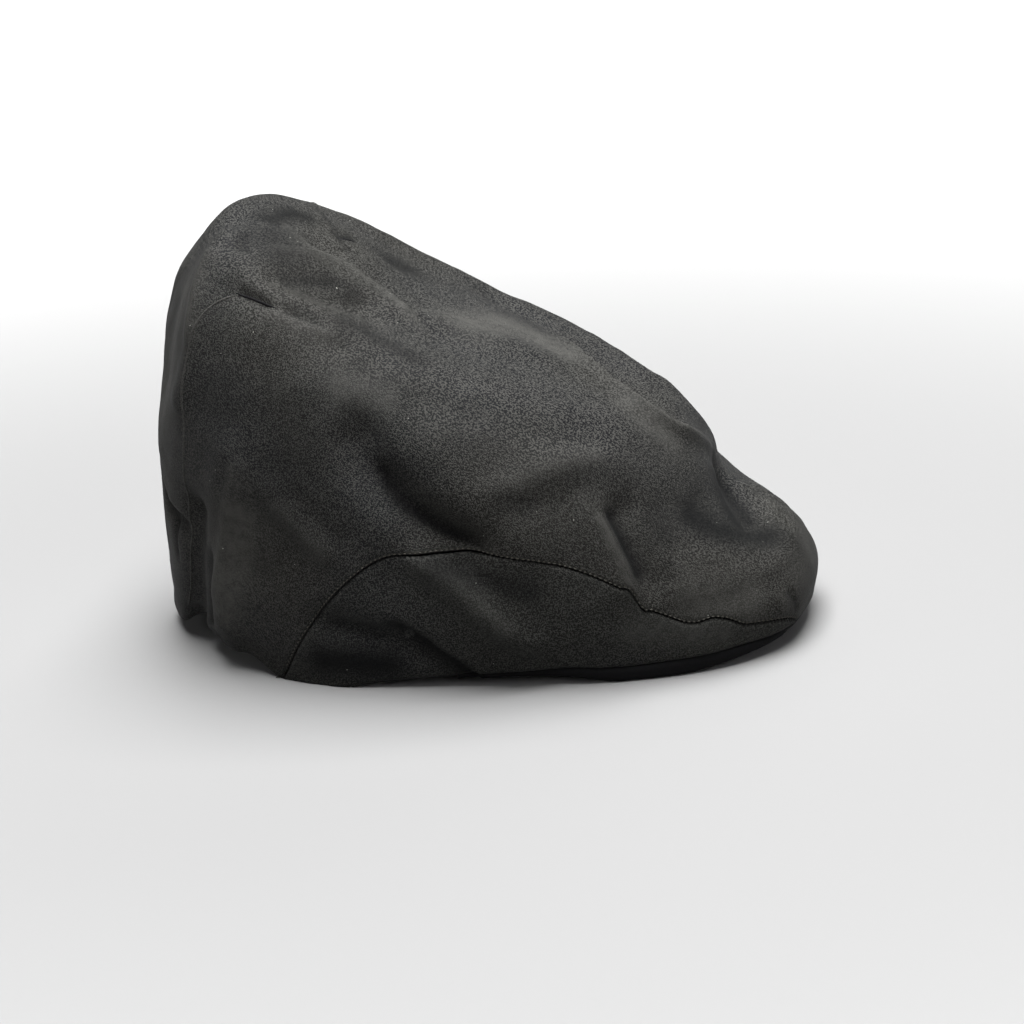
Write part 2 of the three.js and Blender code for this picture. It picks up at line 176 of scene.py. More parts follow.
# Sharp creases: a path of points (turn, rise); widths in mm to its left and right, walking
# along it and seen from outside; the push in mm, outwards positive; how much paler the cloth is
# painted along it, partly rubbed wear and partly painted highlight, and how much painted shade
# darkens it, from 0 to 1
brow_path = [(57.5, 0.843), (32, 0.872), (10, 0.868), (-7, 0.833), (-13, 0.797),
             (-11, 0.755), (-1, 0.705), (11, 0.625)]
creases = [
    ("valley line", [(-97, 0.585), (-92, 0.54), (-89.7, 0.47), (-88.5, 0.405)],
     4, 2.2, -0.7, 0, 0.25),
    ("main valley", [(-91.5, 0.49), (-91, 0.425), (-89.5, 0.375), (-87, 0.35), (-83.5, 0.33),
     (-77, 0.318)], 5.5, 1.4, -2.2, 0, 0.95),
    ("valley shelf", [(-86, 0.47), (-82, 0.43), (-76, 0.39)], 7, 4, 0.7, 0, 0),
    ("arc ridge", [(-72.5, 0.475), (-66.5, 0.545), (-58.5, 0.618), (-50, 0.662), (-44, 0.682)],
     4.5, 3, 0.4, 0.3, 0),
    ("arc valley", [(-76.5, 0.45), (-70.5, 0.465), (-64.5, 0.48)], 3, 5, -0.4, 0, 0.35),
    ("front crease", [(-53.5, 0.5), (-53, 0.42), (-53.2, 0.315), (-54.5, 0.2)],
     1, 2.5, 1.1, 0.8, 0),
    ("front crease valley", [(-50, 0.53), (-49.8, 0.44), (-50.6, 0.325), (-52.5, 0.21)],
     4.5, 1.4, -1.5, 0, 1),
    ("front dent", [(8, 0.6), (7, 0.525), (3.5, 0.45), (-1, 0.37), (-8, 0.285)], 4, 8, -1, 0, 0.9),
    ("dent crease", [(11, 0.315), (4, 0.302), (-1.5, 0.288), (-6.5, 0.26)], 3, 1.5, 0.8, 0.2, 0),
    ("dent crest", [(10, 0.46), (12, 0.43), (14.5, 0.37), (20, 0.3)], 2, 2, 1, 0.3, 0),
    ("nose ridge", [(19.5, 0.4), (20, 0.29), (16, 0.2)], 4, 4, 0.8, 0.15, 0),
    ("front low line", [(-39.5, 0.307), (-43, 0.212), (-44, 0.143)], 2.5, 2.5, 0.5, 0.3, 0),
    ("front low dip", [(-38, 0.492), (-43, 0.31), (-46.5, 0.203)], 5, 3, -0.6, 0, 0.15),
    ("tip wrinkle", [(-19.5, 0.085), (-17.5, 0.052), (-15, 0.022)], 1.6, 1.6, -0.6, 0, 0.35),
    ("tip ridge", [(-23.5, 0.095), (-21.5, 0.058), (-20.5, 0.033)], 1.6, 1.6, 0.4, 0.3, 0),
    ("back tuck", [(-162, 0.25), (-157.5, 0.238), (-154, 0.21), (-146, 0.208), (-141, 0.195)],
     0.9, 4.5, -1.8, 0, 0.8),
    ("tuck edge", [(-161, 0.262), (-156, 0.246), (-152, 0.222), (-145, 0.218)],
     2.5, 0.9, 0.6, 0.3, 0),
    ("tuck drop", [(-148, 0.2), (-148.5, 0.16), (-149, 0.12)], 1.2, 2.5, -1, 0, 0.7),
    ("notch ridge", [(-133, 0.01), (-131, 0.1), (-125.5, 0.19), (-121.5, 0.28), (-119, 0.35),
     (-117.5, 0.4)], 2.5, 6, 1.4, 0.45, 0),
    ("notch valley", [(-137, 0.01), (-133.5, 0.072), (-132, 0.113), (-131, 0.155), (-130, 0.208)],
     5, 2.5, -2, 0, 0.5),
    ("low side dip", [(-115, 0.34), (-115.5, 0.245), (-116, 0.16)], 5, 6, -0.8, 0, 0.25),
    ("corner ridge", [(-147, 0.755), (-145, 0.698), (-140, 0.62), (-136.5, 0.53)],
     5, 3, 1, 0.4, 0),
    ("back hollow", [(-154, 0.835), (-145, 0.818), (-136, 0.79)], 3, 4, -0.9, 0, 0.6),
    ("dart slit", [(-129, 0.716), (-122.5, 0.731), (-116, 0.739)], 2, 2, -1, 0, 0.5),
    ("dart flap", [(-119, 0.722), (-112, 0.734), (-106, 0.748), (-96, 0.772)], 2, 4, 0.8, 0.35, 0),
    ("flap shade", [(-114, 0.752), (-107, 0.765), (-99, 0.785)], 5, 2, -0.8, 0, 0.3),
    ("long top ridge", [(175, 0.88), (212.5, 0.907), (221.5, 0.935), (230, 0.958), (250, 0.966),
     (272.5, 0.968), (284, 0.94), (294.5, 0.905)], 1.5, 3.5, 0.9, 0.7, 0),
    ("top wrinkle", [(173, 0.85), (201.5, 0.89), (219, 0.905)], 1.5, 2.5, -1, 0, 0.6),
    ("second top ridge", [(217, 0.85), (223, 0.89), (224, 0.945)], 1.5, 4, 0.7, 0.5, 0),
    ("mid top ridge", [(-66.5, 0.95), (-40, 0.955), (-14.5, 0.955), (18.5, 0.915)],
     3, 5, 0.9, 0.6, 0),
    ("far dart crease", [(136, 0.84), (153, 0.935), (180, 0.965), (212, 0.98)],
     1.5, 2.5, -0.8, 0, 0.5),
    ("far dart slit", [(174, 0.947), (164, 0.954), (148, 0.955), (136, 0.95)],
     2.5, 2.5, -0.9, 0, 1),
    ("brow ridge", brow_path, 1.2, 4, 1.3, 0.25, 0),
    ("brow line", brow_path, 0.9, 1.2, 0.25, 1, 0),
    ("brow valley", [(57, 0.815), (33, 0.845), (13, 0.84), (-2, 0.805), (-4, 0.78)],
     5, 2, -1.6, 0, 0.3),
    ("soft ridge", [(-111.5, 0.33), (-105.5, 0.285), (-100, 0.238)], 2.5, 5, 0.9, 0.4, 0),
    ("soft valley", [(-107.5, 0.36), (-102, 0.315), (-97, 0.268)], 4, 3, -0.8, 0, 0.2),
    ("band ridge", [(-89.5, 0.275), (-85.5, 0.25), (-81.5, 0.223), (-77, 0.163), (-72.5, 0.103)],
     3, 5, 1.2, 0.4, 0),
    ("band valley", [(-83.5, 0.288), (-80, 0.253), (-76.5, 0.21)], 3, 3, -0.8, 0, 0.25),
    ("lower fold", [(-104, 0.118), (-93.5, 0.12), (-86, 0.112)], 3, 5, -1.1, 0, 0.5),
    ("lower step", [(-92, 0.15), (-88.5, 0.135), (-86, 0.105), (-83.5, 0.065), (-81, 0.03),
     (-78.5, -0.01), (-76, -0.05)], 1, 7, -1.6, 0, 1),
    ("low shade", [(-108, 0.055), (-98, 0.055), (-91, 0.05), (-85, 0.02)], 8, 8, -0.3, 0, 1),
    ("top patch", [(-123.5, 0.812), (-119.5, 0.873), (-110, 0.93)], 5, 4, -1, 0, 0.6),
    ("dark front side", [(-34.5, 0.64), (-37.5, 0.47), (-43, 0.3)], 11, 9, 0, 0, 0.5),
    ("dark dent", [(2, 0.64), (-4, 0.49), (-13, 0.29)], 8, 9, 0, 0, 1),
    ("back drape", [(178, 0.72), (172, 0.5), (168, 0.3), (166, 0.1)], 4, 9, -1.4, 0, 0.35),
    ("back drape ridge", [(-171, 0.68), (-175, 0.46), (-178, 0.24)], 3, 8, 1.1, 0.4, 0),
    ("left drape", [(119, 0.66), (114, 0.47), (111, 0.3), (113, 0.14)], 3, 8, -1.5, 0, 0.4),
    ("left drape ridge", [(108, 0.63), (104, 0.46), (103, 0.33)], 6, 3, 1.2, 0.45, 0),
    ("left tuck", [(158, 0.3), (152, 0.265), (145, 0.25)], 4.5, 1.2, -1.5, 0, 0.6),
    ("left arc ridge", [(73, 0.5), (62, 0.61), (44, 0.68)], 2, 4.5, 0.9, 0.4, 0),
    ("left arc valley", [(75, 0.45), (66, 0.5), (56, 0.52)], 5, 3, -0.9, 0, 0.4),
    ("left side ridge", [(130, 0.72), (127, 0.58), (124, 0.42)], 4, 7, 1, 0.35, 0),
    ("left band ridge", [(88, 0.25), (83, 0.19), (76, 0.12)], 4, 3, 1, 0.4, 0),
    ("left band dip", [(100, 0.11), (92, 0.12), (86, 0.09)], 5, 3, -0.9, 0, 0.5),
    ("left valley", [(97, 0.6), (93, 0.5), (86, 0.41), (79, 0.36)], 3.5, 6, -1.2, 0, 0.4),
    ("left crease", [(52, 0.5), (53, 0.39), (54.5, 0.25)], 5, 2.2, 1.1, 0.4, 0),
    ("left notch", [(139, 0.01), (136, 0.07), (132, 0.15)], 2.5, 5, -1.2, 0, 0.4),
]

# Where the cloth is only painted paler or darker, without a crease: a path as above, the width
# in mm, then how much paler, partly rubbed wear and partly painted highlight, and how much
# painted shade darkens it
marks = [
    ("dark back of the top", [(-172, 0.86), (-142, 0.87), (-118, 0.853)], 12, 0, 0.6),
    ("dark end of the top", [(-158, 0.86), (-172, 0.88), (-184, 0.905), (-183, 0.94)], 8, 0, 0.9),
    ("dark top", [(-123, 0.82), (-115.5, 0.9), (-96.5, 0.915)], 8, 0, 0.35),
    ("pale front", [(-47, 0.2), (-38, 0.125), (-24, 0.075)], 8, 0.6, 0),
    ("pale top", [(-60, 0.955), (20.5, 0.93), (-6.5, 0.87)], 11, 1, 0),
    ("pale brow", [(-18, 0.83), (-19, 0.77), (-10, 0.7)], 8, 0.6, 0),
    ("pale corner", [(-130, 0.06), (-122.5, 0.195), (-119, 0.33)], 8, 1, 0),
    ("pale back", [(-152, 0.68), (-152, 0.5), (-152, 0.3)], 9, 0.6, 0),
    ("dark nose", [(-28, 0.6), (-22, 0.45), (-13, 0.34), (2, 0.21)], 11, 0, 1),
    ("dark top side", [(-102, 0.79), (-92, 0.833), (-76, 0.8)], 6, 0, 0.55),
    ("dark far top", [(120, 0.985), (98, 0.955), (80, 0.92)], 10, 0, 0.8),
    ("dark top of the band", [(-89, 0.265), (-79.5, 0.25), (-68, 0.205)], 5, 0, 0.6),
    ("dark low side", [(-126.5, 0.56), (-123, 0.408), (-119.5, 0.16)], 14, 0, 0.3),
    ("dark mid side", [(-110, 0.47), (-107.5, 0.338), (-105.5, 0.2)], 12, 0, 0.3),
    ("pale low front", [(-60, 0.1), (-48, 0.06), (-34, 0.03)], 6, 0.5, 0),
    ("pale side", [(-101, 0.62), (-93, 0.638), (-87, 0.66)], 7, 0.5, 0),
]


def curve(rows, key, name, x):
    """A column read at x: on each step a cubic whose end slopes are the neighbours' slopes,
    weighed by distance, and level where the slope changes sign."""
    keys, values = rows[key], rows[name]
    steps = np.diff(keys)
    slopes = np.diff(values) / steps
    before, after, left, right = slopes[:-1], slopes[1:], steps[:-1], steps[1:]
    inner = np.where(before * after > 0, (before * right + after * left) / (left + right), 0)
    tangents = np.concatenate([slopes[:1], inner, slopes[-1:]])
    k = np.clip(np.searchsorted(keys, x) - 1, 0, len(steps) - 1)
    t = (x - keys[k]) / steps[k]
    return ((1 + 2 * t) * (1 - t) ** 2 * values[k] + t * (1 - t) ** 2 * steps[k] * tangents[k]
            + t * t * (3 - 2 * t) * values[k + 1] - t * t * (1 - t) * steps[k] * tangents[k + 1])


def unit(vectors):
    """Vectors over their own lengths."""
    return vectors / np.maximum(np.linalg.norm(vectors, axis=-1, keepdims=True), 1e-12)


def lengths_along(points, axis=0):
    """Length along each line of points from its first one, at each of them."""
    steps = np.linalg.norm(np.diff(points, axis=axis), axis=-1)
    return np.insert(np.cumsum(steps, axis=axis), 0, 0, axis=axis)


def above_floor(points):
    """Points, none of them below the surface that the cap rests on."""
    points[..., 2] = np.maximum(points[..., 2], 0)
    return points


def plain_skin(turn, rise):
    """Outer skin without folds: at each rise a closed superellipse, x = middle +
    reach |cos turn|^(2/full) and y = half |sin turn|^(2/full), with its own height."""
    turn, rise = np.broadcast_arrays(np.asarray(turn, float), np.asarray(rise, float))
    at = {name: curve(sections, "rise", name, rise) for name in sections if name != "rise"}
    along, across = np.cos(np.radians(turn)), np.sin(np.radians(turn))
    behind = along < 0
    middle = at["middle"] * front_reach
    reach = np.where(behind, middle + at["back"] * back_reach, at["front"] * front_reach - middle)
    full = np.where(behind, at["back_full"], at["front_full"])
    share = np.abs(along) ** (2 / full)
    end = np.where(behind, at["back_high"], at["front_high"])
    power = np.where(behind, at["fall"], at["climb"])
    lean = at["lean"] * np.sign(along) * share * (1 - share)
    high = at["side_high"] + lean + (end - at["side_high"]) * share ** power
    x = middle + np.sign(along) * reach * share
    y = at["half"] * half_width * np.sign(across) * np.abs(across) ** (2 / full)
    return np.stack([x, y, high * crown_height], axis=-1) + opening_middle


def normal_of(skin, turn, rise):
    """Outward normal: the cross product of the skin's steps around and upward."""
    around = skin(turn + 0.36, rise) - skin(turn - 0.36, rise)
    upward = skin(turn, np.minimum(rise + 0.002, 1)) - skin(turn, np.maximum(rise - 0.002, 0))
    return unit(np.cross(around, upward))


def path_on_skin(corners, steps):
    """Points along a smooth path through corners (turn, rise), on the plain skin."""
    corners = np.array(corners, float)
    knots = np.linspace(0, 1, len(corners))
    rows = {"along": knots, "turn": corners[:, 0], "rise": corners[:, 1]}
    t = np.linspace(0, 1, steps + 1)
    return plain_skin(curve(rows, "along", "turn", t), curve(rows, "along", "rise", t))


def bow_on_skin(a, b, c, steps):
    """Points along the parabola through three corners (turn, rise), on the plain skin."""
    t = np.linspace(0, 1, steps + 1)[:, None]
    bow = ((1 - t) * (1 - 2 * t) * np.array(a) + 4 * t * (1 - t) * np.array(b)
           + t * (2 * t - 1) * np.array(c))
    return plain_skin(bow[:, 0], bow[:, 1])


def away_from_path(points, path):
    """For each point, of the place on a path that is nearest: its distance, its share of the
    path, the offset from it and the path's direction there."""
    best = np.full(len(points), np.inf)
    share = np.zeros(len(points))
    offset = np.zeros_like(points)
    direction = np.zeros_like(points)
    for k in range(len(path) - 1):
        step = path[k + 1] - path[k]
        t = np.clip((points - path[k]) @ step / (step @ step), 0, 1)
        gap = points - path[k] - t[:, None] * step
        away = np.linalg.norm(gap, axis=1)
        near = away < best
        best[near], offset[near] = away[near], gap[near]
        share[near] = (k + t[near]) / (len(path) - 1)
        direction[near] = step
    return best, share, offset, direction


fold_paths, lift_paths = (
    [(bow_on_skin(a, b, c, 8), width * fold_width, push * fold_depth)
     for _, a, b, c, width, push in rows] for rows in (folds, lifts))
crease_paths = [(path_on_skin(corners, 6 * len(corners)), *values)
                for _, corners, *values in creases]
crease_paths += [(path_on_skin(corners, 6 * len(corners)), width, width, 0, rub_and_highlight, shade)
                 for _, corners, width, rub_and_highlight, shade in marks]


def close_to(points, path, reach):
    """Which points lie within reach of a path's box."""
    low, high = path.min(axis=0) - reach, path.max(axis=0) + reach
    return np.all((points > low) & (points < high), axis=1)


def relief(points, normals):
    """How far folds and creases push the skin out, how much paler they paint it (partly rubbed
    wear, partly painted highlight) and how much painted shade they lay on it.

    Each adds push exp(-(distance / width)^2); a crease has a width for each side of its
    path, and fades towards its ends over a sixth of its length or 1.2 widths.
    """
    push = np.zeros(len(points))
    rubbed = np.zeros(len(points))
    dark = np.zeros(len(points))
    for path, width, depth in fold_paths:
        near = close_to(points, path, 3 * width)
        away = away_from_path(points[near], path)[0]
        push[near] += depth * np.exp(-(away / width) ** 2)
    for path, left, right, depth, rub_and_highlight, shade in crease_paths:
        near = close_to(points, path, 3e-3 * max(left, right))
        away, share, offset, direction = away_from_path(points[near], path)
        side = np.einsum("ij,ij->i", offset, np.cross(normals[near], direction))
        width = 1e-3 * np.where(side > 0, left, right)
        reach = 1.2e-3 * max(left, right) / lengths_along(path)[-1]
        fade = np.clip(np.minimum(share, 1 - share) / np.clip(reach, 1 / 6, 0.45), 0, 1)
        form = fade * fade * (3 - 2 * fade) * np.exp(-(away / width) ** 2)
        push[near] += 1e-3 * depth * form
        # The first mask is paler, partly rubbed wear and partly painted highlight; the second is
        # painted shade
        rubbed[near] = np.maximum(rubbed[near], rub_and_highlight * form)
        dark[near] = np.maximum(dark[near], shade * form)
    return push, rubbed, dark


def bend(turn, rise, rumpled=False):
    """Outer skin pushed by its folds and creases, rumpled or not, and lifted at its edge,
    with how much paler it is painted (rubbed wear and painted highlight) and its painted shade."""
    plain = plain_skin(turn, rise)
    flat = plain.reshape(-1, 3)
    normal = normal_of(plain_skin, turn, rise).reshape(-1, 3)
    push, rubbed, dark = relief(flat, normal)
    if rumpled:
        push = push + rumple(flat)
    bent = flat + push[:, None] * normal
    for path, width, lift in lift_paths:
        bent[:, 2] += lift * np.exp(-(away_from_path(flat, path)[0] / width) ** 2)
    shape = plain.shape[:-1]
    return bent.reshape(plain.shape), rubbed.reshape(shape), dark.reshape(shape)


def bent_skin(turn, rise):
    """Outer skin bent by its folds and creases."""
    return bend(turn, rise)[0]


def outer_skin(turn, rise):
    """Bent skin, never below the surface that the cap rests on."""
    return above_floor(bent_skin(turn, rise))


def rise_per_metre(turn, rise):
    """Rise gained by one metre up the skin."""
    step = plain_skin(turn, rise + 0.002) - plain_skin(turn, rise)
    return 0.002 / np.linalg.norm(step, axis=-1)


def seam_rise(turn, shift=0):
    """Rise of the front seam at a turn, moved across its slope by a distance."""
    def seam(angle):
        return curve(seam_line, "turn", "rise", np.clip(np.abs(angle), *seam_ends))
    rise = seam(turn)
    foot = np.maximum(rise, 0)
    steep = rise_per_metre(turn, foot)
    ahead = plain_skin(turn + 1, foot) - plain_skin(turn - 1, foot)
    slope = (seam(turn + 1) - seam(turn - 1)) / (steep * np.linalg.norm(ahead, axis=-1))
    return rise + shift * np.hypot(1, slope) * steep


# Pieces
def rumple(points):
    """Soft unevenness of the cloth: sine waves of seeded directions, each half as high as
    its wavelength is short."""
    seeds = np.random.default_rng(7)
    height = np.zeros(points.shape[:-1])
    for wavelength in (0.035, 0.026, 0.019, 0.014, 0.010, 0.007):
        for _ in range(3):
            way = unit(seeds.normal(size=3))
            phase = seeds.uniform(0, 2 * math.pi)
            height += wavelength * np.sin(2 * math.pi * (points @ way) / wavelength + phase)
    return 0.0028 * height


def grid_normals(points, closed):
    """Normals of a grid: its steps around crossed with its steps upward."""
    if closed:
        around = np.roll(points, -1, axis=0) - np.roll(points, 1, axis=0)
    else:
        around = np.gradient(points, axis=0)
    return unit(np.cross(around, np.gradient(points, axis=1)))


def cloth_grid(turn, rise, away, closed):
    """Outer and inner side of the cloth on a grid of turns and rises.

    The outer side is the bent skin with its rumple, turned in by a parabola where away,
    the distance from an edge, is small. The inner side lies one cloth wall further in.
    """
    bent, rubbed, dark = bend(turn, rise, rumpled=True)
    inward = -grid_normals(above_floor(bent), closed)
    inward[:, 0, 2] = 0
    inward = unit(inward)
    roll = edge_roll * np.clip(1 - away / edge_roll_width, 0, 1) ** 2
    outer = bent + roll[..., None] * inward
    return outer, above_floor(bent + cloth_wall * inward), rubbed, dark


def grid_quads(first, columns, rows, closed, inside_out=False):
    """Quads of a grid whose vertices run up each column from the index first."""
    i, j = np.meshgrid(np.arange(columns if closed else columns - 1), np.arange(rows - 1),
                       indexing="ij")
    at = lambda a, b: (first + (a % columns) * rows + b).ravel()
    corners = [at(i, j), at(i + 1, j), at(i + 1, j + 1), at(i, j + 1)]
    return np.stack(corners[::-1] if inside_out else corners, axis=1)


def band_quads(low, high):
    """Quads between two rows of vertices of the same length."""
    return np.stack([low[:-1], low[1:], high[1:], high[:-1]], axis=1)


def as_rows(*grids):
    """The values of grids, one after the other."""
    return np.concatenate([grid.reshape(-1, *grid.shape[2:]) for grid in grids])


def tube_faces(stations, sides):
    """Quads of a tube of closed sections, and the two faces that close its ends."""
    i, j = np.meshgrid(np.arange(stations - 1), np.arange(sides), indexing="ij")
    at = lambda a, b: (a * sides + b % sides).ravel()
    end = np.arange(sides)[None]
    return [np.stack([at(i, j), at(i + 1, j), at(i + 1, j + 1), at(i, j + 1)], axis=1),
            end[:, ::-1], end + (stations - 1) * sides]


def new_piece(name, points, faces, material, node=None, slot="waxed_cotton", **layers):
    """A smooth mesh from points and faces, with one attribute or UV map for each layer."""
    mesh = bpy.data.meshes.new(name)
    mesh.from_pydata(points.tolist(), [], [face for part in faces for face in part.tolist()])
    corners = np.empty(len(mesh.loops), dtype=np.int32)
    mesh.loops.foreach_get("vertex_index", corners)
    for layer, values in layers.items():
        if values.ndim == 2:
            mesh.uv_layers.new(name=layer).data.foreach_set("uv", values[corners].ravel())
        else:
            mesh.attributes.new(layer, "FLOAT", "POINT").data.foreach_set("value", values)
    mesh.shade_smooth()
    mesh.materials.append(material)
    piece = bpy.data.objects.new(name, mesh)
    scene.collection.objects.link(piece)
    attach(piece, "root")
    if node:
        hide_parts(node)
    return piece


def threads(points):
    """Length around and up the cloth at each point of a grid, as its weave runs."""
    around = lengths_along(points)
    return np.stack([around - around[len(around) // 2], lengths_along(points, 1)], axis=-1)


def along_seam(turn):
    """Length along the front seam from its front end, at each turn."""
    angles = np.linspace(*seam_ends, 600)
    line = plain_skin(angles, np.maximum(seam_rise(angles), 0))
    return np.interp(np.abs((turn + 180) % 360 - 180), angles, lengths_along(line))


def make_crown(material):
    """Crown: the cloth from the lower edge, or the front seam, to the middle of the top."""
    columns, rows = 480, 132
    turn = np.linspace(-180, 180, columns, endpoint=False)[:, None]
    foot = np.maximum(seam_rise(turn, seam_gap / 2), 0)
    steep = rise_per_metre(turn, foot)
    near = [np.maximum(seam_rise(turn, seam_gap / 2 + away), away * steep)
            for away in edge_steps]
    rest = near[-1] + (1 - near[-1]) * np.linspace(0, 1, rows)[1:]
    rise = np.concatenate([np.concatenate(near, axis=1), rest], axis=1)
    turn = np.broadcast_to(turn, rise.shape)
    away = np.concatenate([edge_steps, np.full(rows - 1, clear_of_edge)])
    outer, inner, rubbed, dark = cloth_grid(turn, rise, away, closed=True)
    seam = np.stack([along_seam(turn), (rise - seam_rise(turn)) / steep], axis=-1)
    weave = threads(outer)

    # Rings that close the top, drawn in towards its middle
    share = np.linspace(1, 0, 7)[1:-1]
    middle = outer[:, -1].mean(axis=0)
    cover = middle + (outer[:, -1:] - middle) * share[:, None]
    outer = np.concatenate([outer, cover], axis=1)
    more = lambda values: np.concatenate([values, np.repeat(values[:, -1:], 5, axis=1)], axis=1)
    rubbed, dark, seam, weave = more(rubbed), more(dark), more(seam), more(weave)
    inside = sorted({0, 5, 8, *range(14, rise.shape[1], 6), rise.shape[1] - 1})
    inner = inner[:, inside]

    high, deep = outer.shape[1], inner.shape[1]
    points = np.concatenate([as_rows(outer, inner), [middle, inner[:, -1].mean(axis=0)]])
    start, i = columns * high, np.arange(columns)
    after = (i + 1) % columns
    tip = np.full(columns, len(points) - 2)
    faces = [
        grid_quads(0, columns, high, True),
        grid_quads(start, columns, deep, True, inside_out=True),
        np.stack([i * high, start + i * deep, start + after * deep, after * high], axis=1),
        np.stack([i * high + high - 1, after * high + high - 1, tip], axis=1),
        np.stack([start + after * deep + deep - 1, start + i * deep + deep - 1, tip + 1], axis=1),
    ]
    whole = lambda out, ins: as_rows(out, ins, out[:1, -1:], ins[:1, -1:])
    # Masks on the cloth: paler (rubbed wear and painted highlight) and dark (painted shade)
    return new_piece(
        "crown_cloth", points, faces, material, "crown",
        rubbed=whole(rubbed, 0 * rubbed[:, inside]), dark=whole(dark, dark[:, inside]),
        seam=whole(seam, seam[:, inside]), weave=whole(weave, weave[:, inside]))


def make_side_band(name, side, material):
    """Side band: the cloth between the lower edge and the front seam of one side."""
    angles = np.linspace(4, 120, 1200)
    tall = seam_rise(angles, -seam_gap / 2) / rise_per_metre(angles, 0 * angles)
    inside = angles[tall > 0.0007]
    columns, rows = 300, 30
    turn = side * np.linspace(inside[0], inside[-1], columns)[:, None]
    turn = turn if side > 0 else turn[::-1]
    steep = rise_per_metre(turn, 0 * turn)
    top = seam_rise(turn, -seam_gap / 2)
    low = [np.minimum(away * steep, top / 3) for away in edge_steps]
    high = [np.maximum(seam_rise(turn, -seam_gap / 2 - away), 2 * top / 3)
            for away in edge_steps[::-1]]
    rest = low[-1] + (high[0] - low[-1]) * np.linspace(0, 1, rows)[1:-1]
    rise = np.concatenate([*low, rest, *high], axis=1)
    turn = np.broadcast_to(turn, rise.shape)
    away = np.concatenate([edge_steps, np.full(rows - 2, clear_of_edge), edge_steps[::-1]])
    outer, inner, rubbed, dark = cloth_grid(turn, rise, away, closed=False)
    seam = np.stack([along_seam(turn), (rise - seam_rise(turn)) / steep], axis=-1)
    weave = threads(outer) + np.array([0.3 * side, 0])
    kept = [0, 5, 7, 14, 21, 28, 35, 38, 40, rise.shape[1] - 1]
    inner = inner[:, kept]

    tall, deep = outer.shape[1], inner.shape[1]
    start, i, j = columns * tall, np.arange(columns), np.arange(deep)
    points = as_rows(outer, inner)
    faces = [
        grid_quads(0, columns, tall, False),
        grid_quads(start, columns, deep, False, inside_out=True),
        band_quads(start + i * deep, i * tall),
        band_quads(i * tall + tall - 1, start + i * deep + deep - 1),
    ]
    for column, way in ((0, -1), (columns - 1, 1)):
        edge = [*(column * tall + np.arange(tall)), *(start + column * deep + j)[::-1]]
        faces.append(np.array([edge[::way]]))
    whole = lambda out: as_rows(out, out[:, kept])
    # Masks on the cloth: paler (rubbed wear and painted highlight) and dark (painted shade)
    return new_piece(name + "_cloth", points, faces, material, name,
                     rubbed=whole(rubbed), dark=whole(dark), seam=whole(seam),
                     weave=whole(weave))


def line_frames(turn, rise, step):
    """Points at equal steps along a line on the skin, with the directions along it, out of
    the cloth and across it."""
    line = outer_skin(turn, rise)
    gone = lengths_along(line)
    at = np.linspace(0, gone[-1], int(round(gone[-1] / step)) + 1)
    turn, rise = np.interp(at, gone, turn), np.interp(at, gone, rise)
    plain = plain_skin(turn, rise)
    point = above_floor(outer_skin(turn, rise)
                        + rumple(plain)[:, None] * normal_of(plain_skin, turn, rise))
    along = unit(np.gradient(point, axis=0))
    out = normal_of(bent_skin, turn, rise)
    out = unit(out - np.sum(out * along, axis=1, keepdims=True) * along)
    return at, point, along, out, np.cross(out, along)


def line_through(rows, side):
    """Turns and rises along a smooth line through a table's rows, on one side of the cap."""
    knots = dict(along=np.linspace(0, 1, len(rows["turn"])), **rows)
    at = np.linspace(0, 1, 300)
    return side * curve(knots, "along", "turn", at), curve(knots, "along", "rise", at)


def make_welt(name, line, material, wide, proud, sunk, pucker):
    """Welt: a rolled edge of cloth, a flat half-round section drawn in at each stitch."""
    at, point, _, outward, sideways = line_frames(*line, 0.0004)
    sides = 12
    around = np.linspace(0, 2 * math.pi, sides, endpoint=False)
    beat = 1 - pucker * (0.5 + 0.5 * np.cos(2 * math.pi * at / stitch_pitch)) ** 2
    taper = np.clip(np.minimum(at, at[-1] - at) / 0.004, 0.05, 1) ** 0.5
    across = wide / 2 * np.cos(around)[None] * (0.75 + 0.25 * beat[:, None])
    out = -sunk + (proud + sunk) * np.maximum(np.sin(around), -0.6)[None] * beat[:, None]
    section = (point[:, None] + (across * taper[:, None])[..., None] * sideways[:, None]
               + (out * taper[:, None])[..., None] * outward[:, None])
    columns = len(at)
    loops = np.concatenate([section, section[:, :1]], axis=1)
    faces = [face[:, ::-1] for face in tube_faces(columns, sides)]
    return new_piece(name, section.reshape(-1, 3), faces, material,
                     # Paler along the welt's crest (rubbed wear and painted highlight); painted
                     # shade down its sides and under it
                     rubbed=np.tile(np.sin(around) > 0.3, columns) * 0.7,
                     dark=np.tile(np.sin(around) < 0.3, columns) * 1.0,
                     seam=np.stack([np.repeat(at, sides), np.full(columns * sides, 0.02)], axis=1),
                     weave=threads(loops)[:, :sides].reshape(-1, 2))


def make_stitches(name, line, material):
    """Stitches: short beads of thread at the stitch pitch, thinner towards their ends."""
    at, point, along, out, sideways = line_frames(*line, stitch_pitch)
    sides = 6
    around = np.linspace(0, 2 * math.pi, sides, endpoint=False)
    reach = np.array([-1, -0.75, 0, 0.75, 1])
    bead = np.array([0.15, 0.8, 1, 0.8, 0.15])
    ring = np.cos(around)[:, None] * sideways[:, None] + np.sin(around)[:, None] * out[:, None]
    section = bead[None, :, None, None] * stitch_thickness / 2 * ring[:, None]
    centre = ((point - stitch_sunk * out)[:, None]
              + reach[:, None] * stitch_length / 2 * along[:, None])
    points = (centre[:, :, None] + section).reshape(-1, 3)
    starts = np.arange(len(at))[:, None, None] * len(reach) * sides
    faces = [(part + starts).reshape(-1, part.shape[1]) for part in tube_faces(len(reach), sides)]
    return new_piece(name, points, faces, material, weave=np.zeros((len(points), 2)))


